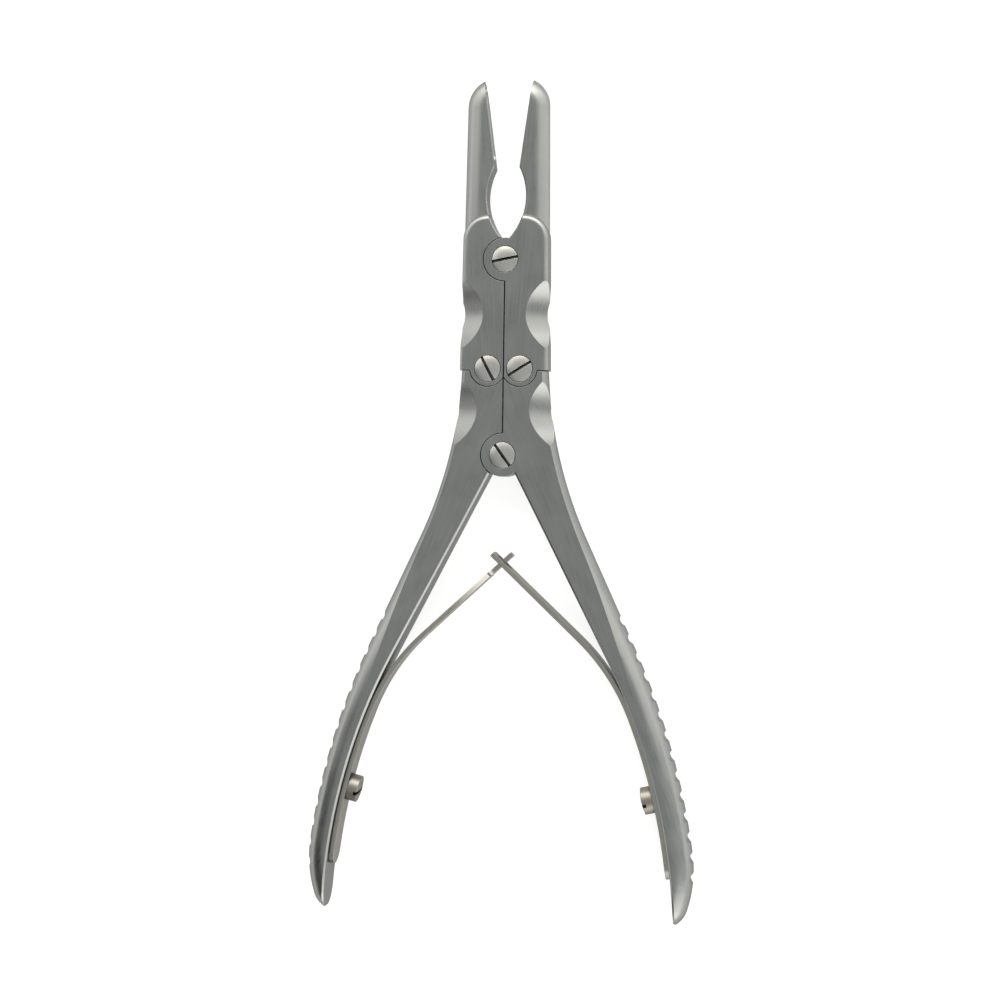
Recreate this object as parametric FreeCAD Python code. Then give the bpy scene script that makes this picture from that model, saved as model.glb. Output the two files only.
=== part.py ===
import FreeCAD, Part
import math
import os

from FreeCAD import Vector

# Double-action bone rongeur, 180 mm long, jaws open at the stop.
# Row frame: +Y towards the jaw tips, +Z up through the pivot screws, origin on the
# resting plane under the middle of the overall length. All sizes are in millimetres.

# Linkage: two jaws and two handles on four pivots, a kite that is symmetric about x = 0
JAW_RIM_REACH = 39.05
JAW_SHANK = 23.3
LINK_OFFSET = 3.45
HANDLE_ARM = 18.45
JAW_OPENING = 7.7
RIM_GAP = 0.1
SEAM_GAP = 0.3

# Joint block, ground flat on both faces
JOINT_THICKNESS = 6.1
JOINT_HALF_WIDTH = 9.3
BLOCK_START = (9.65, -2.0)
JOINT_FLANK = 1.3
SHOULDER_DROP = 0.4
SHOULDER_GAP = 0.25
LAP_GAP = 0.06

# Lobes that lap over each other at the pivots
MAIN_LOBE_RADIUS = 4.6
LINK_LOBE_RADIUS = 3.75
LOBE_GAP = 0.2

# Pivot screws: cheese head sunk in the front lobe, shoulder, threaded end in the back lobe
HEAD_RADIUS = 2.75
HEAD_HEIGHT = 1.3
HEAD_CROWN = 0.4
HEAD_RIM_GAP = 0.13
HEAD_SEAT_GAP = 0.03
SHOULDER_RADIUS = 1.9
BEARING_GAP = 0.04
THREAD_RADIUS = 1.5
THREAD_GAP = 0.02
SCREW_END_DEPTH = 0.05
SLOT_WIDTH = 0.62
SLOT_DEPTH = 0.95
SLOT_ANGLES = {"jaw": 11.3, "left": -61.9, "right": 31.9, "handle": -53.7}

# Jaws
THROAT_ROOT = (0.81, 4.5)
THROAT_DEEPEST = (4.18, 12.7)
RIM_HEEL = 19.9
JAW_DEPTH = 4.7
JAW_FLANK = 3.9
NOSE_MEETS = 64
CUP_LENGTH = 16.6
CUP_RADIUS = 1.7
CUP_AXIS_RISE = 0.35
CUP_NOSE_WALL = 0.9
THROAT_BREAK = 0.25

# Handles: the inner edge runs straight from the handle pivot, then bends to the end
HANDLE_ANGLE = 27.5
RISE_ABOVE_PIVOT = 25
EASE_START = 4
EASE_LENGTH = 52
GRIP_LAND = 0.15
HANDLE_OFFSET = 0.6
HANDLE_STRAIGHT = 49.0
GRIP_BEND_RADIUS = 130.0
GRIP_BEND_ANGLE = 25.5
GRIP_DEPTH = 9.2
EDGE_BREAK = 0.4
INNER_ALLOWANCE = 1.0

# Finger grooves across the outer side of each grip
GROOVE_COUNT = 14
GROOVE_PITCH = 4.2
GROOVE_START = 43.0
GROOVE_RADIUS = 1.3
GROOVE_DEPTH = 0.75

# Thumb scoops ground into the flanks of the joint
SCOOP_RADIUS = 12.0
SCOOP_TILT = 35.0
JAW_SCOOP = (4.6, -11.6)
HANDLE_SCOOP = (5.66, 9.7)

# Leaf springs, clamped to the inner face of each grip
SPRING_THICKNESS = 1.0
SPRING_WIDTH = 5.9
SPRING_TIP_WIDTH = 4.2
SPRING_SEAT_GAP = 0.05
SPRING_FOOT = 97.5
SPRING_LIFT = 62.0
SPRING_BEND_RADIUS = 45.0
SPRING_BEND_ANGLE = 25.2
SPRING_OVERRUN = 2.9
TONGUE_WIDTH = 2.2
TONGUE_LENGTH = 5.0
EYE_PLAY = 0.3
EYE_LENGTH = 4.4
EYE_END_WALL = 0.8

# Spring screws
SPRING_SCREW_AT = 80.2
SPRING_HEAD_RADIUS = 2.9
SPRING_HEAD_HEIGHT = 2.2
SPRING_SHANK_RADIUS = 1.55
SPRING_THREAD_RADIUS = 1.3
SPRING_THREAD_DEPTH = 3.2
SPRING_HOLE_PLAY = 0.15
SPRING_HOLE_SPARE = 0.5
SPRING_SLOT_WIDTH = 0.8
SPRING_SLOT_DEPTH = 1.1


# Outlines as smooth paths: a start, a heading in degrees clockwise from +Y, then lengths and turns
HANDLE_START = (9.35, 19.8)
HANDLE_HEADING = 178.8
FLARE_LENGTH = 38.8
FLARE_TURN = -23.75
SHANK_LENGTH = 25.2
BACK_SHORTER = 12.90766
BACK_TURN = 16.55
HEEL_LENGTH = 12.6
HEEL_TURN = 25.9
TIP_LENGTH = 6.3
TIP_TURN = 68.8
BLOCK_LENGTH = 29.8
BLOCK_CORNER_LENGTH = 7.6
BLOCK_CORNER_TURN = -83
BLOCK_TOP_LENGTH = 5.5
BAR_START = 2.0
JAW_TAPER = 0.75
NOSE_RADIUS = 6.3
NOSE_TURN = 80

X = Vector(1, 0, 0)
Y = Vector(0, 1, 0)
Z = Vector(0, 0, 1)
HALF_JOINT = JOINT_THICKNESS / 2
MID_Z = GRIP_DEPTH / 2
FAR = 60.0
OVERCUT = 5.0
SPRING_CUT = 8 * SPRING_THICKNESS
OPEN = math.radians(JAW_OPENING)
ANGLE = math.radians(HANDLE_ANGLE)
BEND = math.radians(GRIP_BEND_ANGLE)
HANDLE_LENGTH = HANDLE_STRAIGHT + GRIP_BEND_RADIUS * BEND
JAW_REACH = JAW_RIM_REACH * math.cos(OPEN)
HANDLE_REACH = (HANDLE_STRAIGHT * math.cos(ANGLE)
                + GRIP_BEND_RADIUS * (math.sin(ANGLE) - math.sin(ANGLE - BEND)))
OVERALL_LENGTH = JAW_REACH + JAW_SHANK + HANDLE_ARM + HANDLE_REACH
JAW_PIVOT = Vector(0, OVERALL_LENGTH / 2 - JAW_REACH, MID_Z)
LINK_PIVOT = JAW_PIVOT + Vector(LINK_OFFSET, -JAW_SHANK, 0)
HANDLE_PIVOT = JAW_PIVOT - Y * (JAW_SHANK + HANDLE_ARM)


THROAT = Part.Arc(JAW_PIVOT + Vector(*THROAT_ROOT, 0), JAW_PIVOT + Vector(*THROAT_DEEPEST, 0),
                  JAW_PIVOT + Vector(RIM_HEEL * math.sin(OPEN) + RIM_GAP / 2 * math.cos(OPEN),
                                     RIM_HEEL * math.cos(OPEN) - RIM_GAP / 2 * math.sin(OPEN), 0))
THROAT_CURVE = THROAT.toShape().Curve


def mirrored(shape):
    """The same piece on the left of the instrument."""
    return shape.mirror(Vector(0, 0, 0), X)


def line(start, end):
    return Part.LineSegment(start, end).toShape()


def lobe(radius, centre, front):
    """The lapping half-thickness disc that a lever carries at a pivot."""
    thickness = HALF_JOINT - LAP_GAP / 2
    start = LAP_GAP / 2 if front else -HALF_JOINT
    return Part.makeCylinder(radius, thickness, centre + Z * start, Z)


def recess(radius, centre, front):
    """The pocket that gives the other lever's lobe room to turn."""
    start = -LAP_GAP / 2 if front else -FAR
    height = FAR + LAP_GAP / 2
    return Part.makeCylinder(radius + LOBE_GAP, height, centre + Z * start, Z)


def half_space(corner, size):
    return Part.makeBox(size.x, size.y, size.z, corner)


def smooth_path(start, heading, pieces):
    """Edges that run on without a corner, from a start and a heading in degrees clockwise from +Y."""
    edges, heading = [], math.radians(heading)
    for length, turn in pieces:
        turn = math.radians(turn)
        stops = []
        for share in (0.5, 1.0):
            reach = 2 * length / turn * math.sin(turn * share / 2) if turn else length * share
            middle = heading + turn * share / 2
            stops.append(start + Vector(math.sin(middle), math.cos(middle), 0) * reach)
        edges.append(Part.Arc(start, *stops).toShape() if turn else line(start, stops[1]))
        start, heading = stops[1], heading + turn
    return edges, start


def slab(edges, corners, half_depth):
    """A plate whose outline is a smooth path closed through some corners."""
    stops = [edges[-1].Vertexes[-1].Point, *corners, edges[0].Vertexes[0].Point]
    face = Part.Face(Part.Wire(edges + [line(p, q) for p, q in zip(stops, stops[1:])]))
    face.translate(Z * -half_depth)
    return face.extrude(Z * 2 * half_depth)


def edges_above(body, guides):
    """The body's edges that lie level, straight above or below one of some guide edges."""
    def middle(edge):
        return edge.valueAt((edge.FirstParameter + edge.LastParameter) / 2)
    found = []
    for edge in body.Edges:
        for guide in guides:
            apart = middle(edge) - middle(guide)
            if math.hypot(apart.x, apart.y) < 0.02 and abs(edge.Length - guide.Length) < 0.1:
                found.append(edge)
    return found


def jaw_section(low_y):
    """A level section of the right jaw's bar: flat faces and a flank of two arcs that meet outermost."""
    depth = JAW_DEPTH / 2
    outer = Vector(JOINT_HALF_WIDTH, low_y, MID_Z)
    sweep = math.asin(JAW_FLANK / flank_radius())
    arcs = []
    for side in (1, -1):
        top = outer + Vector(-JAW_FLANK, 0, side * depth)
        centre = top - Z * (side * flank_radius())
        between = centre + Vector(math.sin(sweep / 2), 0, side * math.cos(sweep / 2)) * flank_radius()
        arcs.append(Part.Arc(top, between, outer).toShape())
    inner = [outer + Vector(-JOINT_HALF_WIDTH - INNER_ALLOWANCE, 0, side * depth) for side in (1, -1)]
    tops = [outer + Vector(-JAW_FLANK, 0, side * depth) for side in (1, -1)]
    return Part.Face(Part.Wire([arcs[0], arcs[1], line(tops[1], inner[1]), line(inner[1], inner[0]),
                                line(inner[0], tops[0])]))


def flank_radius():
    return (JAW_FLANK ** 2 + (JAW_DEPTH / 2) ** 2) / JAW_DEPTH


def jaw_bar():
    """The right jaw above the joint: a straight bar with a rounded flank that turns in at the nose."""
    low_y = JAW_PIVOT.y + BAR_START
    turn = math.radians(NOSE_TURN)
    bend_y = JAW_PIVOT.y + JAW_REACH - NOSE_RADIUS * math.sin(math.radians(NOSE_MEETS))
    bar = jaw_section(low_y).extrude(Y * (bend_y - low_y))
    end = jaw_section(bend_y)
    axis = Vector(JOINT_HALF_WIDTH - NOSE_RADIUS, bend_y, MID_Z)
    end = end.common(half_space(axis - Z * FAR - Y, Vector(FAR, 2, 2 * FAR)))
    nose = end.revolve(axis, Z, NOSE_TURN)
    bar = bar.fuse(nose)
    corner = Vector(JOINT_HALF_WIDTH, low_y, MID_Z)
    bar.rotate(corner, Z, JAW_TAPER)
    return bar


def jaw_blank():
    """The right jaw's forging: the joint block with its broken edges, and the bar."""
    start = Vector(BLOCK_START[0], LINK_PIVOT.y + BLOCK_START[1], MID_Z)
    outline, end = smooth_path(start, -JAW_TAPER, [
        (BLOCK_LENGTH, 0), (BLOCK_CORNER_LENGTH, BLOCK_CORNER_TURN), (BLOCK_TOP_LENGTH, 0)])
    block = slab(outline, [Vector(end.x, start.y, MID_Z)], HALF_JOINT)
    block = block.makeFillet(JOINT_FLANK, edges_above(block, outline))
    return block.fuse(jaw_bar())


def rim_point(reach, offset=0.0):
    """A point on the right jaw's cutting rim, at a distance from the jaw pivot."""
    return JAW_PIVOT + Vector(reach * math.sin(OPEN) + offset * math.cos(OPEN),
                              reach * math.cos(OPEN) - offset * math.sin(OPEN), 0)


def mouth_cutter():
    """Everything between the jaws: the throat's arc and the plane of the cutting rims."""
    root = JAW_PIVOT + Vector(*THROAT_ROOT, 0)
    deepest = JAW_PIVOT + Vector(*THROAT_DEEPEST, 0)
    heel = rim_point(RIM_HEEL, RIM_GAP / 2)
    beyond = rim_point(JAW_RIM_REACH + OVERCUT, RIM_GAP / 2)
    corner = JAW_PIVOT + Vector(-OVERCUT, JAW_REACH + OVERCUT, 0)
    low = Vector(corner.x, root.y, root.z)
    throat = Part.Arc(root, deepest, heel).toShape()
    wire = Part.Wire([throat, line(heel, beyond), line(beyond, corner),
                      line(corner, low), line(low, root)])
    face = Part.Face(wire)
    face.translate(Z * -FAR)
    return face.extrude(Z * 2 * FAR)


def cup():
    """The hollow of one jaw: a round-ended trough sunk in the rim, its axis a little above it."""
    along = Vector(math.sin(OPEN), math.cos(OPEN), 0)
    nose = rim_point(JAW_RIM_REACH - CUP_NOSE_WALL - CUP_RADIUS, RIM_GAP / 2 - CUP_AXIS_RISE)
    length = CUP_LENGTH - 2 * CUP_RADIUS
    hollow = Part.makeCylinder(CUP_RADIUS, length, nose - along * length, along)
    ends = [Part.makeSphere(CUP_RADIUS, at, along, -90, 90) for at in (nose, nose - along * length)]
    return hollow.fuse(ends)


def scoop(at, lean, front):
    """A wheel-ground hollow in the flank of the joint, on the front or the back."""
    side = 1 if front else -1
    tilt = math.radians(SCOOP_TILT)
    groove = Vector(math.cos(tilt), math.sin(lean) * math.cos(tilt), -side * math.sin(tilt))
    groove.normalize()
    rise = Vector(math.sin(tilt), 0, side * math.cos(tilt))
    start = at + Z * (side * HALF_JOINT) + rise * SCOOP_RADIUS - groove * FAR / 2
    return Part.makeCylinder(SCOOP_RADIUS, FAR, start, groove)


def face_cutters(low_y, high_y):
    """Blocks that grind the joint flat, front and back, between two heights."""
    size = Vector(2 * FAR, high_y - low_y, FAR)
    front = half_space(Vector(-FAR, low_y, MID_Z + HALF_JOINT), size)
    back = half_space(Vector(-FAR, low_y, MID_Z - HALF_JOINT - FAR), size)
    return [front, back]


def screw_seat(centre, depth_to_seat):
    """Counterbore for the head and the bearing bore through the front lobe."""
    head = Part.makeCylinder(HEAD_RADIUS + HEAD_RIM_GAP, FAR,
                             centre + Z * (HALF_JOINT - depth_to_seat), Z)
    bore = Part.makeCylinder(SHOULDER_RADIUS + BEARING_GAP, HALF_JOINT + OVERCUT, centre, Z)
    return head.fuse(bore)


def thread_hole(centre):
    """Tapped hole through the back lobe."""
    depth = HALF_JOINT + OVERCUT
    return Part.makeCylinder(THREAD_RADIUS + THREAD_GAP, depth, centre - Z * depth, Z)


def right_jaw_body():
    """The right jaw up to its pivots, shared by both jaws through a mirror."""
    body = jaw_blank()
    shoulder_y = LINK_PIVOT.y - SHOULDER_DROP + SHOULDER_GAP / 2
    body = body.cut(half_space(Vector(-FAR, shoulder_y - FAR, -FAR), Vector(2 * FAR, FAR, 2 * FAR)))
    body = body.cut(half_space(Vector(-FAR, -FAR * 2, -FAR),
                               Vector(FAR + SEAM_GAP / 2, FAR * 4, FAR * 2)).common(
        half_space(Vector(-FAR, -FAR * 2, -FAR),
                   Vector(2 * FAR, FAR * 2 + JAW_PIVOT.y + THROAT_ROOT[1], FAR * 2))))
    body = body.cut(mouth_cutter())
    for front in (True, False):
        at = JAW_PIVOT + Vector(*JAW_SCOOP, 0)
        body = body.cut(scoop(at, 0.0, front))
    return broken_throat_edges(body.cut(cup()))


def broken_throat_edges(body):
    """Breaks the throat's long edges, front and back."""
    edges = []
    for edge in body.Edges:
        along = [edge.valueAt(edge.FirstParameter + t * (edge.LastParameter - edge.FirstParameter))
                 for t in (0.1, 0.5, 0.9)]
        from_axis = [math.hypot(p.x - THROAT_CURVE.Center.x, p.y - THROAT_CURVE.Center.y) for p in along]
        off = max(abs(distance - THROAT_CURVE.Radius) for distance in from_axis)
        if off < 0.01 and edge.Length > 1 and abs(along[1].z - MID_Z) > JAW_DEPTH / 2 - THROAT_BREAK:
            edges.append(edge)
    return body.makeChamfer(THROAT_BREAK, edges)


def add_link_lobe(body, front):
    """Fuses the half-thickness lobe at the link pivot and clears the mating one."""
    keep = half_space(Vector(SEAM_GAP / 2, -2 * FAR, -FAR), Vector(FAR, 4 * FAR, 2 * FAR))
    own = lobe(LINK_LOBE_RADIUS, LINK_PIVOT, front).common(keep)
    body = body.cut(recess(LINK_LOBE_RADIUS, LINK_PIVOT, not front))
    return body.fuse(own)


def add_main_lobe(body, centre, front):
    body = body.cut(recess(MAIN_LOBE_RADIUS, centre, not front))
    return body.fuse(lobe(MAIN_LOBE_RADIUS, centre, front))


def jaw(side):
    """A finished jaw. The right one laps in front at the jaw pivot, the left one behind."""
    right = side > 0
    body = add_link_lobe(right_jaw_body(), True)
    body = add_main_lobe(body, JAW_PIVOT, right)
    body = body.cut(screw_seat(LINK_PIVOT, HEAD_HEIGHT))
    body = body.cut(screw_seat(JAW_PIVOT, HEAD_HEIGHT) if right else thread_hole(JAW_PIVOT))
    body = body.removeSplitter()
    return body if right else mirrored(body)


def handle_edge(s):
    """A point on the right handle's inner edge, and the unit vector towards its outer side."""
    heading = ANGLE - max(0.0, s - HANDLE_STRAIGHT) / GRIP_BEND_RADIUS
    straight = min(s, HANDLE_STRAIGHT)
    along = Vector(math.sin(ANGLE), -math.cos(ANGLE), 0)
    across = Vector(math.cos(ANGLE), math.sin(ANGLE), 0)
    outward = Vector(math.cos(heading), math.sin(heading), 0)
    point = HANDLE_PIVOT + across * HANDLE_OFFSET + along * straight
    return point + (outward - across) * GRIP_BEND_RADIUS, outward


def inside_cutter():
    """Everything on the inner side of the right handle."""
    bend = handle_edge(HANDLE_STRAIGHT)[0]
    middle = handle_edge((HANDLE_STRAIGHT + HANDLE_LENGTH) / 2)[0]
    low = handle_edge(HANDLE_LENGTH + OVERCUT)[0]
    top = handle_edge(-RISE_ABOVE_PIVOT)[0]
    edges = [line(top, bend), Part.Arc(bend, middle, low).toShape()]
    return slab(edges, [Vector(-FAR, low.y, MID_Z), Vector(-FAR, top.y, MID_Z)], FAR), edges


def ground_faces():
    """What is ground off the front and the back: flat at the joint, then easing out to the grip."""
    flat = HANDLE_PIVOT.y - EASE_START
    rise = GRIP_DEPTH / 2 - HALF_JOINT
    half = EASE_LENGTH / 2
    low = Vector(-FAR, flat, MID_Z + HALF_JOINT)
    middle = low + Vector(0, -half, rise / 2)
    high = low + Vector(0, -2 * half, rise)
    cutters = []
    arcs = [Part.Arc(low, low + Vector(0, -half / 2, rise / 8), middle).toShape(),
            Part.Arc(middle, high + Vector(0, half / 2, -rise / 8), high).toShape()]
    corners = [high, high + Z * FAR, Vector(-FAR, FAR, high.z + FAR), Vector(-FAR, FAR, low.z), low]
    face = Part.Face(Part.Wire(arcs + [line(p, q) for p, q in zip(corners, corners[1:])]))
    front = face.extrude(X * 2 * FAR)
    return [front, front.mirror(Vector(0, 0, MID_Z), Z)]


def long_edges(body, walls):
    """The long edges, front and back, of a body's inner side that stands on some upright walls."""
    found = []
    for edge in body.Edges:
        low, high = edge.ParameterRange
        at = [edge.valueAt(low + t * (high - low)) for t in (0.1, 0.5, 0.9)]
        upright = math.hypot(at[2].x - at[0].x, at[2].y - at[0].y) < 0.1
        spots = [Part.Vertex(p.x, p.y, abs(p.z)) for p in at]
        on_wall = any(all(wall.distToShape(spot)[0] < 0.01 for spot in spots) for wall in walls)
        if on_wall and not upright:
            found.append(edge)
    return found


def handle_blank():
    """The right handle's forging: a bar with a round back, ground flat at the joint."""
    start = Vector(HANDLE_START[0], HANDLE_PIVOT.y + HANDLE_START[1], MID_Z)
    back = GRIP_BEND_RADIUS * BEND - BACK_SHORTER
    outline, end = smooth_path(start, HANDLE_HEADING, [
        (FLARE_LENGTH, FLARE_TURN), (SHANK_LENGTH, 0), (back, BACK_TURN),
        (HEEL_LENGTH, HEEL_TURN), (TIP_LENGTH, TIP_TURN)])
    bar = slab(outline, [Vector(-FAR / 2, end.y, MID_Z), Vector(-FAR / 2, start.y, MID_Z)], GRIP_DEPTH / 2)
    bar = bar.makeFillet(GRIP_DEPTH / 2 - GRIP_LAND, edges_above(bar, outline))
    inside, edges = inside_cutter()
    bar = bar.cut(inside).cut(ground_faces())
    return bar.makeChamfer(EDGE_BREAK, long_edges(bar, [edge.extrude(Z * FAR) for edge in edges]))


def groove(grip, s):
    """One finger groove across the outer side of the grip."""
    point, outward = handle_edge(s)
    probe = grip.common(Part.makeLine(point, point + outward * FAR))
    width = max((v.Point - point).dot(outward) for v in probe.Vertexes)
    centre = point + outward * (width + GROOVE_RADIUS - GROOVE_DEPTH)
    return Part.makeCylinder(GROOVE_RADIUS, 2 * FAR, centre - Z * FAR, Z)


def right_handle_body():
    """The right handle up to its pivots, shared by both handles through a mirror."""
    body = handle_blank()
    shoulder_y = LINK_PIVOT.y - SHOULDER_DROP - SHOULDER_GAP / 2
    body = body.cut(half_space(Vector(-FAR, shoulder_y, -FAR), Vector(2 * FAR, FAR, 2 * FAR)))
    body = body.cut(half_space(Vector(SEAM_GAP / 2 - FAR, HANDLE_PIVOT.y, -FAR),
                               Vector(FAR, 2 * FAR, 2 * FAR)))
    for front in (True, False):
        body = body.cut(scoop(HANDLE_PIVOT + Vector(*HANDLE_SCOOP, 0), 0.0, front))
    return body.cut([groove(body, GROOVE_START + GROOVE_PITCH * k) for k in range(GROOVE_COUNT)])


def handle(side):
    """A finished handle. The right one laps in front at the handle pivot."""
    right = side > 0
    body = add_link_lobe(right_handle_body(), False)
    body = add_main_lobe(body, HANDLE_PIVOT, right)
    body = body.cut(thread_hole(LINK_PIVOT))
    body = body.cut(screw_seat(HANDLE_PIVOT, HEAD_HEIGHT) if right else thread_hole(HANDLE_PIVOT))
    hole, outward = handle_edge(SPRING_SCREW_AT)
    depth = SPRING_THREAD_DEPTH + SPRING_HOLE_SPARE + OVERCUT
    body = body.cut(Part.makeCylinder(SPRING_THREAD_RADIUS + THREAD_GAP, depth,
                                      hole - outward * OVERCUT, outward))
    body = body.removeSplitter()
    return body if right else mirrored(body)


def screw(centre, axis, head, shoulder, thread, slot, slot_angle):
    """A slotted screw: (radius, foot, top, crown) head, (radius, end) shoulder and thread."""
    def turned(radius, low, high):
        return Part.makeCylinder(radius, high - low, centre + axis * low, axis)
    head_radius, foot, top, crown = head
    sphere = (head_radius ** 2 + crown ** 2) / (2 * crown)
    dome = Part.makeSphere(sphere, centre + axis * (top + crown - sphere), axis, -90, 90)
    body = turned(head_radius, foot, top + crown).common(dome)
    body = body.fuse([turned(shoulder[0], shoulder[1], foot), turned(thread[0], thread[1], shoulder[1])])
    width, depth = slot
    blade = Part.makeBox(4 * head_radius, width, FAR)
    blade.translate(Vector(-2 * head_radius, -width / 2, top + crown - depth))
    blade.rotate(Vector(0, 0, 0), Z, slot_angle)
    blade.Placement = FreeCAD.Placement(centre, FreeCAD.Rotation(Z, axis)).multiply(blade.Placement)
    return body.cut(blade)


def pivot_screw(centre, slot_angle):
    """A pivot: head sunk in the front lobe, shoulder as the bearing, thread in the back lobe."""
    foot = HALF_JOINT - HEAD_HEIGHT + HEAD_SEAT_GAP
    return screw(centre, Z, (HEAD_RADIUS, foot, HALF_JOINT, HEAD_CROWN),
                 (SHOULDER_RADIUS, HEAD_SEAT_GAP - LAP_GAP / 2),
                 (THREAD_RADIUS, SCREW_END_DEPTH - HALF_JOINT), (SLOT_WIDTH, SLOT_DEPTH), slot_angle)


def spring_station(distance):
    """The right spring's middle line: a point and its heading, from the foot to the tip."""
    foot_length = SPRING_FOOT - SPRING_LIFT
    rise = SPRING_SEAT_GAP + SPRING_THICKNESS / 2
    if distance <= foot_length:
        point, outward = handle_edge(SPRING_FOOT - distance)
        return point - outward * rise, math.atan2(outward.y, outward.x)
    point, outward = handle_edge(SPRING_LIFT)
    start = point - outward * rise
    heading = math.atan2(outward.y, outward.x)
    bend = math.radians(SPRING_BEND_ANGLE)
    turn = min((distance - foot_length) / SPRING_BEND_RADIUS, bend)
    now = heading + turn
    point = start - (outward - Vector(math.cos(now), math.sin(now), 0)) * SPRING_BEND_RADIUS
    rest = max(0.0, distance - foot_length - bend * SPRING_BEND_RADIUS)
    return point + Vector(-math.sin(now), math.cos(now), 0) * rest, now


def crossing_distance():
    """How far along the spring its middle line meets the instrument's centre line."""
    bent = SPRING_FOOT - SPRING_LIFT + math.radians(SPRING_BEND_ANGLE) * SPRING_BEND_RADIUS
    point, heading = spring_station(bent)
    return bent + point.x / math.sin(heading)


def leaf_edge(side):
    """One long edge of the right leaf, from foot to tip: foot arc, bend arc and straight end."""
    foot = SPRING_FOOT - SPRING_LIFT
    bent = foot + math.radians(SPRING_BEND_ANGLE) * SPRING_BEND_RADIUS
    points = []
    for distance in (0, foot / 2, foot, (foot + bent) / 2, bent, leaf_length()):
        point, heading = spring_station(distance)
        across = Vector(math.cos(heading), math.sin(heading), 0)
        points.append(point + across * (side * SPRING_THICKNESS / 2))
    edges = [Part.Arc(*points[0:3]).toShape(), Part.Arc(*points[2:5]).toShape(), line(*points[4:6])]
    return edges, points[0], points[-1]


def leaf_length():
    return crossing_distance() + SPRING_OVERRUN


def leaf_planform():
    """The leaf's outline across its width: parallel along the grip, then tapering to the tip."""
    half, tip_half = SPRING_WIDTH / 2, SPRING_TIP_WIDTH / 2
    low, lift, high = [spring_station(d)[0].y for d in (0, SPRING_FOOT - SPRING_LIFT, leaf_length())]
    corners = [Vector(-FAR, y, MID_Z + z) for y, z in (
        (low - OVERCUT, half), (lift, half), (high, tip_half), (high + OVERCUT, tip_half),
        (high + OVERCUT, -tip_half), (high, -tip_half), (lift, -half), (low - OVERCUT, -half),
        (low - OVERCUT, half))]
    return Part.Face(Part.makePolygon(corners)).extrude(X * 2 * FAR)


def spring_leaf():
    """A plain right-hand leaf, with a rounded foot and the hole for its screw."""
    outer, outer_foot, outer_tip = leaf_edge(1)
    inner, inner_foot, inner_tip = leaf_edge(-1)
    wire = Part.Wire(outer + [line(outer_tip, inner_tip)] + inner[::-1] + [line(inner_foot, outer_foot)])
    face = Part.Face(wire)
    face.translate(Z * -SPRING_WIDTH)
    leaf = face.extrude(Z * 2 * SPRING_WIDTH).common(leaf_planform())
    return leaf.cut(foot_rounding()).cut(spring_hole())


def spring_frame(distance):
    """Where a cutter for the right leaf sits: X through the leaf, Y along it, Z across."""
    point, heading = spring_station(distance)
    return FreeCAD.Placement(point, FreeCAD.Rotation(Z, math.degrees(heading)))


def foot_rounding():
    """What comes off the leaf's foot to leave a rounded end."""
    radius = SPRING_WIDTH / 2
    block = Part.makeBox(SPRING_CUT, 2 * radius, 3 * radius, Vector(-SPRING_CUT / 2, -radius, -1.5 * radius))
    block = block.cut(Part.makeCylinder(radius, SPRING_CUT, Vector(-SPRING_CUT / 2, radius, 0), X))
    block.Placement = spring_frame(0)
    return block


def spring_hole():
    """The hole that the spring screw passes through."""
    hole = Part.makeCylinder(SPRING_SHANK_RADIUS + SPRING_HOLE_PLAY, SPRING_CUT,
                             Vector(-SPRING_CUT / 2, 0, 0), X)
    hole.Placement = spring_frame(SPRING_FOOT - SPRING_SCREW_AT)
    return hole


def leaf_spring_right():
    """The leaf whose end has an eye for the other leaf's tongue."""
    eye_width = TONGUE_WIDTH + 2 * EYE_PLAY
    eye = Part.makeBox(SPRING_CUT, EYE_LENGTH - eye_width, eye_width,
                       Vector(-SPRING_CUT / 2, -EYE_LENGTH + eye_width / 2, -eye_width / 2))
    for end in (-EYE_LENGTH + eye_width / 2, -eye_width / 2):
        eye = eye.fuse(Part.makeCylinder(eye_width / 2, SPRING_CUT, Vector(-SPRING_CUT / 2, end, 0), X))
    eye.Placement = spring_frame(leaf_length() - EYE_END_WALL)
    return spring_leaf().cut(eye).removeSplitter()


def leaf_spring_left():
    """The leaf whose end is filed down to a tongue."""
    radius = (SPRING_WIDTH - TONGUE_WIDTH) / 2
    leaf = spring_leaf()
    for side in (1, -1):
        edge = side * TONGUE_WIDTH / 2
        off = Part.makeBox(SPRING_CUT, 2 * TONGUE_LENGTH, FAR,
                           Vector(-SPRING_CUT / 2, -TONGUE_LENGTH, min(edge, edge + side * FAR)))
        root = Part.makeCylinder(radius, SPRING_CUT,
                                 Vector(-SPRING_CUT / 2, -TONGUE_LENGTH, edge + side * radius), X)
        off = off.fuse(root)
        off.Placement = spring_frame(leaf_length())
        leaf = leaf.cut(off)
    return mirrored(leaf.removeSplitter())


def spring_screw(side):
    """The cheese-head screw that clamps a leaf to its grip."""
    seat, outward = handle_edge(SPRING_SCREW_AT)
    head_foot = SPRING_SEAT_GAP + SPRING_THICKNESS + SPRING_SEAT_GAP
    head = (SPRING_HEAD_RADIUS, head_foot, head_foot + SPRING_HEAD_HEIGHT, HEAD_CROWN)
    body = screw(seat, outward * -1, head, (SPRING_SHANK_RADIUS, THREAD_GAP),
                 (SPRING_THREAD_RADIUS, -SPRING_THREAD_DEPTH), (SPRING_SLOT_WIDTH, SPRING_SLOT_DEPTH), 0)
    return body if side > 0 else mirrored(body)


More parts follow.
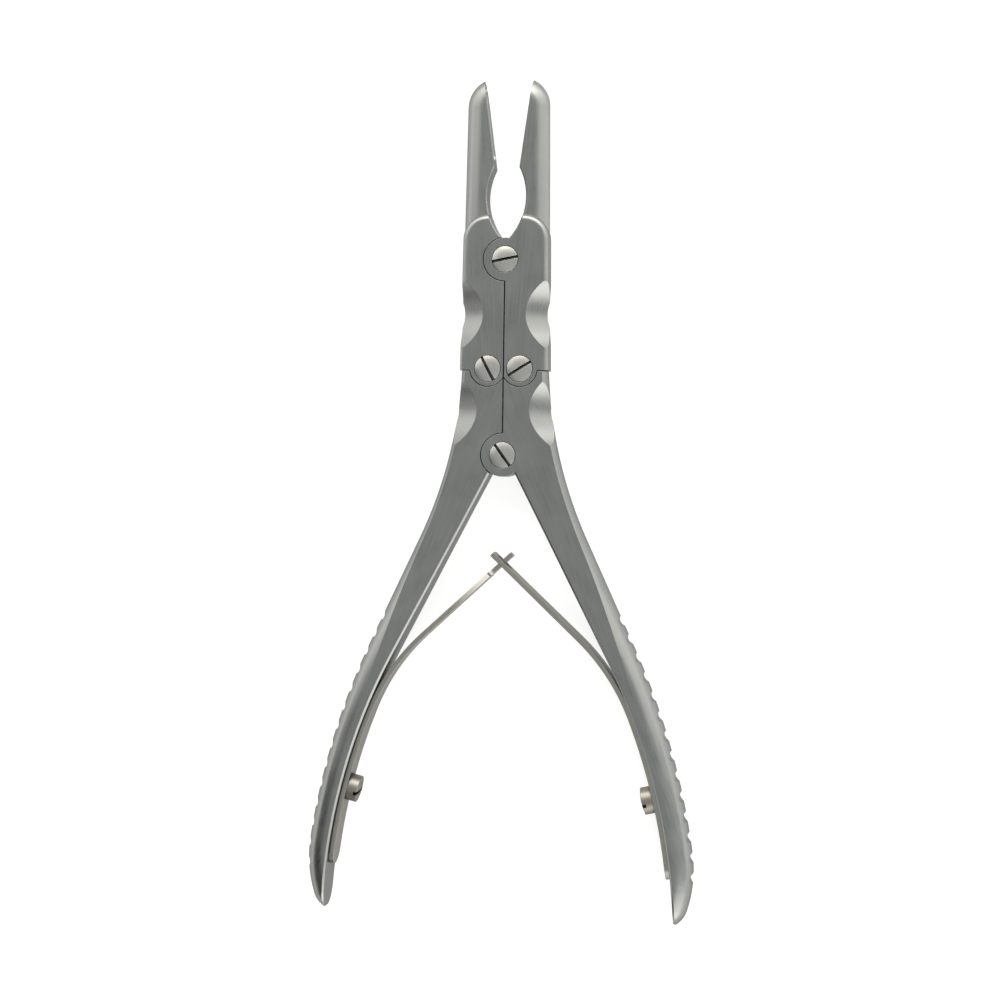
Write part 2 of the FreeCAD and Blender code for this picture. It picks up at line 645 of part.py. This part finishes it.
def main():
    os.makedirs("parts", exist_ok=True)
    left_link = Vector(-LINK_PIVOT.x, LINK_PIVOT.y, LINK_PIVOT.z)
    pieces = {
        "jaw_right": jaw(1),
        "jaw_left": jaw(-1),
        "handle_right": handle(1),
        "handle_left": handle(-1),
        "jaw_pivot_screw": pivot_screw(JAW_PIVOT, SLOT_ANGLES["jaw"]),
        "link_screw_left": pivot_screw(left_link, SLOT_ANGLES["left"]),
        "link_screw_right": pivot_screw(LINK_PIVOT, SLOT_ANGLES["right"]),
        "handle_pivot_screw": pivot_screw(HANDLE_PIVOT, SLOT_ANGLES["handle"]),
        "leaf_spring_right": leaf_spring_right(),
        "leaf_spring_left": leaf_spring_left(),
        "spring_screw_right": spring_screw(1),
        "spring_screw_left": spring_screw(-1),
    }
    for name, shape in pieces.items():
        box = shape.BoundBox
        print(name, shape.isValid(), len(shape.Solids), round(shape.Volume, 2),
              [round(v, 2) for v in (box.XMin, box.YMin, box.ZMin, box.XMax, box.YMax, box.ZMax)])
        shape.exportStep(f"parts/{name}.step")


main()
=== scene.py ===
import math

import bmesh
import bpy
import numpy as np
from bpy.props import FloatProperty, FloatVectorProperty, PointerProperty, StringProperty
from mathutils import Matrix, Vector


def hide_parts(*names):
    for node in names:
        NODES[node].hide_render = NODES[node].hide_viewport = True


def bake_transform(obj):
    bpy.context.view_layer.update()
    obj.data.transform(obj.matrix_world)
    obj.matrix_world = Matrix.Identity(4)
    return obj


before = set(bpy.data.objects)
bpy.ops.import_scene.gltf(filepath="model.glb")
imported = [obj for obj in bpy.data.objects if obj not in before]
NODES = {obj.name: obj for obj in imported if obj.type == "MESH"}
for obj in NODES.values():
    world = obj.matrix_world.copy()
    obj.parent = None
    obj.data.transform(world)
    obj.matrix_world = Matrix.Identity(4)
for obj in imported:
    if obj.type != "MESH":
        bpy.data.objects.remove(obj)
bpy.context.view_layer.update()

bl_info = {
    "name": "Bone rongeur",
    "version": (1, 0, 0),
    "blender": (4, 5, 0),
    "location": "View3D > Sidebar > Rongeur",
    "description": "Finishes of a double-action bone rongeur, its bending leaf springs and its studio",
    "category": "Object",
}

MM = 0.001
# how far the polishing marks lean from the instrument's length, in degrees
GRIP_LEAN = 22.0
JAW_LEAN = 4.0
# points nearer than this are one point
SAME_POINT = 1e-7


def linear(colour):
    """An sRGB hex colour as linear red, green, blue and alpha."""
    srgb = [int(colour[at:at + 2], 16) / 255 for at in (1, 3, 5)]
    return [part / 12.92 if part <= 0.04045 else ((part + 0.055) / 1.055) ** 2.4 for part in srgb] + [1.0]


def add(tree, kind, links=(), **settings):
    """One node: its settings, then the values or the links of its inputs."""
    made = tree.nodes.new("ShaderNode" + kind)
    for name, value in settings.items():
        setattr(made, name, value)
    for name, value in dict(links).items():
        if isinstance(value, bpy.types.NodeSocket):
            tree.links.new(value, made.inputs[name])
        else:
            made.inputs[name].default_value = value
    return made


def ramp(tree, value, stops):
    """A colour ramp through (place, grey level) stops."""
    made = add(tree, "ValToRGB", {"Fac": value})
    line = made.color_ramp
    while len(line.elements) < len(stops):
        line.elements.new(0.5)
    for element, (place, level) in zip(line.elements, stops):
        element.position = place
        element.color = (level, level, level, 1)
    return made.outputs["Color"]


def soft_step(tree, value, low, high):
    """Runs smoothly from 0 to 1 while a value goes from low to high."""
    return add(tree, "MapRange", {"Value": value, "From Min": low, "From Max": high},
               interpolation_type="SMOOTHSTEP").outputs["Result"]


def between(tree, share, first, second):
    """Goes from a first level to a second one with a share."""
    return add(tree, "Mix", {"Factor": share, 2: first, 3: second}).outputs[0]


def empty_material(name):
    """A material without nodes, and its node tree."""
    material = bpy.data.materials.new(name)
    material.use_nodes = True
    material.node_tree.nodes.clear()
    return material, material.node_tree


def grain_coordinates(tree, lean, across, along):
    """Object coordinates turned to lie along a lever and stretched to the size of its polishing marks."""
    place = add(tree, "TexCoord").outputs["Object"]
    turned = add(tree, "Mapping", {"Vector": place, "Rotation": (0, 0, math.radians(lean))})
    return add(tree, "Mapping", {"Vector": turned.outputs["Vector"],
                                 "Scale": (1 / across, 1 / along, 1 / across)}).outputs["Vector"]


def spread(tree, unevenness, middle, reach):
    """Turns the sum of two noises, which keeps between about 0.6 and 1.4, into a value near a middle one."""
    return add(tree, "MapRange", {"Value": unevenness.outputs["Value"], "From Min": 0.6, "From Max": 1.4,
                                  "To Min": middle - reach, "To Max": middle + reach}).outputs["Result"]


def steel(name, colour, lean, settings, edge, bump, reach, roughness=None):
    """Stainless steel: polishing marks along the piece, a faint cloudiness, broken edges, and shade painted
    dark into crevices.
    """
    material, tree = empty_material(name)
    grain = grain_coordinates(tree, lean, settings.mark_width, settings.mark_length)
    marks = add(tree, "TexNoise", {"Vector": grain, "Scale": 1.0, "Detail": 1.0})
    clouds = add(tree, "TexNoise", {"Vector": add(tree, "TexCoord").outputs["Object"],
                                    "Scale": 1 / settings.cloud_size, "Detail": 2.0})
    unevenness = add(tree, "Math", {0: marks.outputs["Fac"], 1: clouds.outputs["Fac"]}, operation="ADD")
    if roughness is None:
        roughness = spread(tree, unevenness, settings.roughness, settings.roughness_spread)
    tone = spread(tree, unevenness, 1, settings.tone_spread)
    # painted shade: ambient occlusion mixes the colour towards a dark painted shade in gaps, slots and
    # crevices
    crevice_shade = add(tree, "AmbientOcclusion", {"Distance": reach}, samples=8)
    plain = add(tree, "HueSaturation", {"Color": linear(colour), "Value": tone})
    shaded = add(tree, "Mix", {"Factor": ramp(tree, crevice_shade.outputs["AO"], ((0.35, 0.0), (0.8, 1.0))),
                               6: linear(settings.crevice_shade), 7: plain.outputs["Color"]}, data_type="RGBA")
    rounded = add(tree, "Bevel", {"Radius": edge}, samples=8)
    relief = add(tree, "Bump", {"Height": marks.outputs["Fac"], "Distance": bump, "Strength": 1.0,
                                "Normal": rounded.outputs["Normal"]})
    surface = add(tree, "BsdfPrincipled", {"Base Color": shaded.outputs[2], "Metallic": 1.0,
                                           "Roughness": roughness,
                                           "Specular Tint": linear(settings.rim),
                                           "Normal": relief.outputs["Normal"]})
    add(tree, "OutputMaterial", {"Surface": surface.outputs["BSDF"]})
    return material


def give(piece, material):
    """One material on the whole of a piece."""
    if not piece.data.materials:
        piece.data.materials.append(material)
    for number in range(len(piece.data.materials)):
        piece.data.materials[number] = material


class SteelLook(bpy.types.PropertyGroup):
    colour: StringProperty(name="Colour", description="sRGB colour of the steel", default="#949694")
    tone_spread: FloatProperty(name="Tone spread", description="How far the marks' brightness varies",
                               default=0.07)
    rim: StringProperty(name="Rim", description="sRGB tint of what is mirrored at a grazing angle",
                        default="#B0B0B0")
    # painted shade: the dark colour that gaps, slots and crevices are painted towards
    crevice_shade: StringProperty(name="Crevices", description="sRGB colour deep in gaps and slots",
                            default="#0A0A0A")
    roughness: FloatProperty(name="Roughness", description="Middle roughness", default=0.3, min=0, max=1)
    roughness_spread: FloatProperty(name="Roughness spread", description="How far it varies",
                                    default=0.05, min=0)
    # drawn coarser: real marks of 0.05 mm are too fine to show
    mark_width: FloatProperty(name="Mark width", description="Width of a polishing mark", default=0.3 * MM,
                              unit="LENGTH")
    mark_length: FloatProperty(name="Mark length", description="Along a polishing mark", default=9 * MM,
                               unit="LENGTH")
    cloud_size: FloatProperty(name="Cloud size", description="Size of the faint uneven patches",
                              default=7 * MM, unit="LENGTH")
    # how far from a gap's walls the painted shade reaches
    gap_shade_reach: FloatProperty(name="Gap reach", description="How near the walls of a dark gap are",
                             default=0.4 * MM, unit="LENGTH")


class RongeurLevers(bpy.types.PropertyGroup):
    look: PointerProperty(type=SteelLook)
    edge: FloatProperty(name="Broken edge", description="Radius of the levers' rubbed edges",
                        default=0.1 * MM, unit="LENGTH")
    relief: FloatProperty(name="Mark depth", description="Depth of the polishing marks", default=0.002 * MM,
                          unit="LENGTH")


class RongeurScrews(bpy.types.PropertyGroup):
    edge: FloatProperty(name="Broken edge", description="Radius of the turned edges", default=0.05 * MM,
                        unit="LENGTH")
    relief: FloatProperty(name="Mark depth", description="Depth of the turning marks", default=0.001 * MM,
                          unit="LENGTH")
    # how far from a slot's walls the painted shade reaches
    slot_shade_reach: FloatProperty(name="Slot reach", description="How near the walls of a dark slot are",
                              default=1.2 * MM, unit="LENGTH")
    colour: StringProperty(name="Colour", description="sRGB colour of the polished steel", default="#C4C3BE")
    roughness: FloatProperty(name="Roughness", description="Middle roughness", default=0.27, min=0, max=1)
    clamp_colour: StringProperty(name="Clamp colour", description="sRGB colour of the spring screws",
                                 default="#8F8D86")
    clamp_roughness: FloatProperty(name="Clamp roughness", description="Roughness of the spring screws",
                                   default=0.4, min=0, max=1)


class RongeurSprings(bpy.types.PropertyGroup):
    slice: FloatProperty(name="Slice", description="Distance between the cuts that let a leaf bend",
                         default=1.5 * MM, unit="LENGTH")
    lift_right: FloatVectorProperty(name="Lift-off", description="Where the right leaf leaves its grip",
                                    default=(28.06 * MM, -45.95 * MM, 4.6 * MM), subtype="TRANSLATION",
                                    unit="LENGTH")
    crossing: FloatVectorProperty(name="Crossing", description="Where the two leaves cross",
                                  default=(0.0, -13.89 * MM, 4.6 * MM), subtype="TRANSLATION", unit="LENGTH")
    edge: FloatProperty(name="Broken edge", description="Radius of the leaves' edges", default=0.1 * MM,
                        unit="LENGTH")
    relief: FloatProperty(name="Mark depth", description="Depth of the grinding marks", default=0.003 * MM,
                          unit="LENGTH")
    colour: StringProperty(name="Colour", description="sRGB colour of the spring steel", default="#A5A39C")


class RongeurStudio(bpy.types.PropertyGroup):
    camera_place: FloatVectorProperty(name="Camera", description="Place of the camera",
                                      default=(0.0564, 0.0022, 0.3657), subtype="TRANSLATION", unit="LENGTH")
    yaw: FloatProperty(name="Yaw", description="Camera's turn about Y",
                       default=math.radians(9.0), unit="ROTATION")
    pitch: FloatProperty(name="Pitch", description="Camera's turn about X", default=math.radians(-0.4),
                         unit="ROTATION")
    roll: FloatProperty(name="Roll", description="Camera's turn about its own axis",
                        default=math.radians(0.83), unit="ROTATION")
    lens: FloatProperty(name="Lens", description="Focal length in millimetres on a 36 mm sensor",
                        default=61.2)
    floor: StringProperty(name="Floor", description="sRGB colour of the floor", default="#F8F8F7")
    floor_radius: FloatProperty(name="Floor radius", description="Radius of the round floor", default=3.0,
                                unit="LENGTH")
    ceiling: FloatProperty(name="Ceiling", description="Brightness straight above", default=0.55)
    dark_wall: FloatProperty(name="Left wall", description="Brightness of the unlit wall", default=0.08)
    right_wall: FloatProperty(name="Right wall", description="Brightness of the wall at the right",
                              default=0.55)
    far_wall: FloatProperty(name="Far wall", description="Brightness of the wall beyond the jaws",
                            default=2.8)
    side_wall: FloatProperty(name="Side walls", description="Brightness of the walls beside the jaws",
                             default=1.7)
    strip: FloatProperty(name="Lit strip", description="Brightness of the strip at the horizon", default=2.0)
    cool: StringProperty(name="Cool light", description="sRGB colour of the dim parts", default="#FCFFFE")
    warm: StringProperty(name="Warm light", description="sRGB colour of the lit parts", default="#FFFCF8")
    fibres: FloatProperty(name="Fibres", description="How many of the paper's grains lie in a metre",
                          default=900)
    fibre_relief: FloatProperty(name="Fibre relief", description="Depth of the paper's grain",
                                default=0.02 * MM, unit="LENGTH")
    glow: FloatProperty(name="Glow", description="Brightness of the paper where it is seen", default=1.3)
    glow_share: FloatProperty(name="Glow share", description="Share of that glow in what is seen",
                              default=0.6)
    key: FloatProperty(name="Key lamp", description="Power of the lamp beyond the jaws, in watts",
                       default=2.0)
    key_colour: StringProperty(name="Key colour", description="sRGB colour of that lamp", default="#FFF6E8")
    key_place: FloatVectorProperty(name="Key place", description="Place of that lamp",
                                   default=(0.05, 0.75, 0.5), subtype="TRANSLATION", unit="LENGTH")
    key_width: FloatProperty(name="Key width", description="Width of that lamp", default=0.7, unit="LENGTH")
    key_height: FloatProperty(name="Key height", description="Height of that lamp", default=0.5,
                              unit="LENGTH")


class RONGEUR_OT_levers(bpy.types.Operator):
    """Satin stainless steel on the two jaws and the two handles"""
    bl_idname = "rongeur.levers"
    bl_label = "Levers"

    def execute(self, context):
        levers = context.scene.rongeur_levers
        # forged stainless steel, ground flat and satin polished: soft streaked highlights along each lever
        for name, lean in (("jaw_right", JAW_LEAN), ("jaw_left", -JAW_LEAN),
                           ("handle_right", -GRIP_LEAN), ("handle_left", GRIP_LEAN)):
            material = steel("satin_steel_" + name, levers.look.colour, lean, levers.look, levers.edge,
                             levers.relief, levers.look.gap_shade_reach)
            give(NODES[name], material)
        return {"FINISHED"}


class RONGEUR_OT_screws(bpy.types.Operator):
    """Polished stainless steel on the six screws"""
    bl_idname = "rongeur.screws"
    bl_label = "Screws"

    def execute(self, context):
        screws = context.scene.rongeur_screws
        look = context.scene.rongeur_levers.look
        # turned and polished stainless steel: even heads with shade painted dark into the slots, duller
        # where they clamp a leaf
        for group, colour, roughness in (("pivot", screws.colour, screws.roughness),
                                         ("link", screws.colour, screws.roughness),
                                         ("spring", screws.clamp_colour, screws.clamp_roughness)):
            material = steel("polished_steel_" + group, colour, 0, look, screws.edge, screws.relief,
                             screws.slot_shade_reach, roughness)
            for name in NODES:
                if "screw" in name and group in name:
                    give(NODES[name], material)
        return {"FINISHED"}


def sliced_copy(node, name, along, spacing):
    """The node's own surface, merged and cut square to a direction at even steps, so that it can bend."""
    shape = bmesh.new()
    shape.from_mesh(NODES[node].data)
    bmesh.ops.remove_doubles(shape, verts=shape.verts, dist=SAME_POINT)
    mesh = bpy.data.meshes.new(name)
    shape.to_mesh(mesh)
    shape.clear()
    mesh.shade_smooth()
    mesh.set_sharp_from_angle(angle=math.radians(30))
    # the cuts carry the normals on, so that the leaf still shines as one smooth sweep
    normals = np.empty(len(mesh.loops) * 3, np.float32)
    mesh.corner_normals.foreach_get("vector", normals)
    mesh.attributes.new("sweep", "FLOAT_VECTOR", "CORNER").data.foreach_set("vector", normals)
    shape.from_mesh(mesh)
    reach = np.array([along.dot(vertex.co) for vertex in shape.verts])
    for place in np.arange(reach.min() + spacing, reach.max(), spacing):
        bmesh.ops.bisect_plane(shape, geom=shape.verts[:] + shape.edges[:] + shape.faces[:],
                               plane_co=along * float(place), plane_no=along, dist=SAME_POINT)
    shape.to_mesh(mesh)
    shape.free()
    normals = np.empty(len(mesh.loops) * 3, np.float32)
    mesh.attributes["sweep"].data.foreach_get("vector", normals)
    normals = normals.reshape(-1, 3)
    mesh.normals_split_custom_set(normals / np.linalg.norm(normals, axis=1, keepdims=True))
    mesh.attributes.remove(mesh.attributes["sweep"])
    piece = bpy.data.objects.new(name, mesh)
    bpy.context.scene.collection.objects.link(piece)
    return piece


class RONGEUR_OT_springs(bpy.types.Operator):
    """Leaf springs cut into slices, ready to be bent between the two handles"""
    bl_idname = "rongeur.springs"
    bl_label = "Leaf springs"

    def execute(self, context):
        springs = context.scene.rongeur_springs
        look = context.scene.rongeur_levers.look
        for name, side in (("leaf_spring_right", 1), ("leaf_spring_left", -1)):
            lift = Vector(springs.lift_right) * 1
            lift.x *= side
            crossing = Vector(springs.crossing)
            piece = sliced_copy(name, name.replace("leaf_spring", "bending_leaf"),
                                (crossing - lift).normalized(), springs.slice)
            # hardened and ground spring steel: a warmer, finely scratched satin
            material = steel("spring_steel_" + name.split("_")[-1], springs.colour, -side * GRIP_LEAN, look,
                             springs.edge, springs.relief, look.gap_shade_reach)
            give(piece, material)
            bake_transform(piece)
            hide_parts(name)
        return {"FINISHED"}


def round_floor(radius, rings, spokes):
    """A flat disc: points at each ring's radius times the cosine and sine of each spoke's angle."""
    ring = np.linspace(0, 1, rings + 1)[1:, None] * radius
    angle = np.arange(spokes)[None, :] * (2 * math.pi / spokes)
    flat = np.zeros((rings, spokes))
    points = np.stack([ring * np.cos(angle), ring * np.sin(angle), flat], -1).reshape(-1, 3)
    near = np.arange(rings - 1)[:, None] * spokes + np.arange(spokes)[None, :]
    side = np.arange(rings - 1)[:, None] * spokes + (np.arange(spokes)[None, :] + 1) % spokes
    quads = np.stack([near, near + spokes, side + spokes, side], -1).reshape(-1, 4)
    mesh = bpy.data.meshes.new("floor")
    mesh.from_pydata(points, [], [list(range(spokes))] + quads.tolist())
    floor = bpy.data.objects.new("floor", mesh)
    bpy.context.scene.collection.objects.link(floor)
    return floor


def paper(studio):
    """White background paper: matt, and pale where the camera or the steel sees it."""
    material, tree = empty_material("background_paper")
    place = add(tree, "TexCoord").outputs["Object"]
    fibres = add(tree, "TexNoise", {"Vector": place, "Scale": studio.fibres})
    relief = add(tree, "Bump", {"Height": fibres.outputs["Fac"], "Distance": studio.fibre_relief})
    matt = add(tree, "BsdfDiffuse", {"Color": linear(studio.floor), "Normal": relief.outputs["Normal"]})
    glow = add(tree, "Emission", {"Color": (1, 1, 1, 1), "Strength": studio.glow})
    path = add(tree, "LightPath")
    mirrored = add(tree, "Math", {0: path.outputs["Is Glossy Ray"], 1: path.outputs["Is Transmission Ray"]})
    seen = add(tree, "Math", {0: path.outputs["Is Camera Ray"], 1: mirrored.outputs["Value"]},
               use_clamp=True)
    share = add(tree, "Math", {0: seen.outputs["Value"], 1: studio.glow_share}, operation="MULTIPLY")
    both = add(tree, "MixShader", {0: share.outputs["Value"], 1: matt.outputs["BSDF"],
                                   2: glow.outputs["Emission"]})
    add(tree, "OutputMaterial", {"Surface": both.outputs["Shader"]})
    return material


def key_lamp(studio):
    """A large soft lamp beyond the jaws that faces the instrument."""
    light = bpy.data.lights.new("key_lamp", "AREA")
    light.shape = "RECTANGLE"
    light.size = studio.key_width
    light.size_y = studio.key_height
    light.energy = studio.key
    light.color = linear(studio.key_colour)[:3]
    made = bpy.data.objects.new("key_lamp", light)
    made.location = studio.key_place
    made.rotation_euler = (-Vector(studio.key_place)).to_track_quat("-Z", "Y").to_euler()
    bpy.context.scene.collection.objects.link(made)


def room(studio):
    """The room that the steel mirrors: walls that differ in brightness, a lit strip and a ceiling."""
    world = bpy.data.worlds.new("studio")
    world.use_nodes = True
    world.node_tree.nodes.clear()
    tree = world.node_tree
    direction = add(tree, "SeparateXYZ", {0: add(tree, "TexCoord").outputs["Generated"]})
    x, y, z = [direction.outputs[axis] for axis in "XYZ"]
    # the right wall gets brighter towards the grips' end, the left one stays unlit
    right = between(tree, soft_step(tree, y, -0.15, -0.6), studio.right_wall, studio.far_wall)
    walls = between(tree, soft_step(tree, x, -0.3, 0.3), studio.dark_wall, right)
    # beside the jaws and beyond them the room is lit
    walls = between(tree, soft_step(tree, y, 0.0, 0.25), walls, studio.side_wall)
    walls = between(tree, soft_step(tree, y, 0.45, 0.8), walls, studio.far_wall)
    # low down, from the joint on, runs the lit strip
    strip = between(tree, soft_step(tree, y, -0.4, -0.1), walls, studio.strip)
    walls = between(tree, soft_step(tree, z, 0.2, 0.05), walls, strip)
    level = between(tree, soft_step(tree, z, 0.7, 0.9), walls, studio.ceiling)
    tint = add(tree, "Mix", {"Factor": soft_step(tree, level, 0.7, 1.2), 6: linear(studio.cool),
                             7: linear(studio.warm)}, data_type="RGBA")
    sky = add(tree, "Background", {"Color": tint.outputs[2], "Strength": level})
    add(tree, "OutputWorld", {"Surface": sky.outputs["Background"]})
    return world


def camera_as_in_the_photo(studio):
    """The camera above the instrument, turned a little to the side."""
    camera = bpy.data.objects.new("camera", bpy.data.cameras.new("camera"))
    camera.data.sensor_width = 36.0
    camera.data.lens = studio.lens
    turn = (Matrix.Rotation(studio.yaw, 4, "Y") @ Matrix.Rotation(studio.pitch, 4, "X")
            @ Matrix.Rotation(studio.roll, 4, "Z"))
    camera.matrix_world = Matrix.Translation(studio.camera_place) @ turn
    bpy.context.scene.collection.objects.link(camera)
    return camera


class RONGEUR_OT_studio(bpy.types.Operator):
    """Pale floor, soft studio light and the camera"""
    bl_idname = "rongeur.studio"
    bl_label = "Studio"

    def execute(self, context):
        studio = context.scene.rongeur_studio
        floor = round_floor(studio.floor_radius, rings=24, spokes=96)
        give(floor, paper(studio))
        context.scene.world = room(studio)
        key_lamp(studio)
        context.scene.camera = camera_as_in_the_photo(studio)
        context.scene.view_settings.view_transform = "Standard"
        return {"FINISHED"}


class RONGEUR_PT_panel(bpy.types.Panel):
    """Lists the steps that dress the rongeur"""
    bl_label = "Rongeur"
    bl_space_type = "VIEW_3D"
    bl_region_type = "UI"
    bl_category = "Rongeur"

    def draw(self, context):
        for step in STEPS:
            self.layout.operator(step.bl_idname)


GROUPS = {"rongeur_levers": RongeurLevers, "rongeur_screws": RongeurScrews,
          "rongeur_springs": RongeurSprings, "rongeur_studio": RongeurStudio}
STEPS = (RONGEUR_OT_levers, RONGEUR_OT_screws, RONGEUR_OT_springs, RONGEUR_OT_studio)
CLASSES = (SteelLook, *GROUPS.values(), *STEPS, RONGEUR_PT_panel)


def register():
    for each in CLASSES:
        bpy.utils.register_class(each)
    for name, group in GROUPS.items():
        setattr(bpy.types.Scene, name, PointerProperty(type=group))


def unregister():
    for name in GROUPS:
        delattr(bpy.types.Scene, name)
    for each in reversed(CLASSES):
        bpy.utils.unregister_class(each)


def main():
    register()
    bpy.ops.rongeur.levers()
    bpy.ops.rongeur.screws()
    bpy.ops.rongeur.springs()
    bpy.ops.rongeur.studio()


if __name__ == "__main__":
    main()
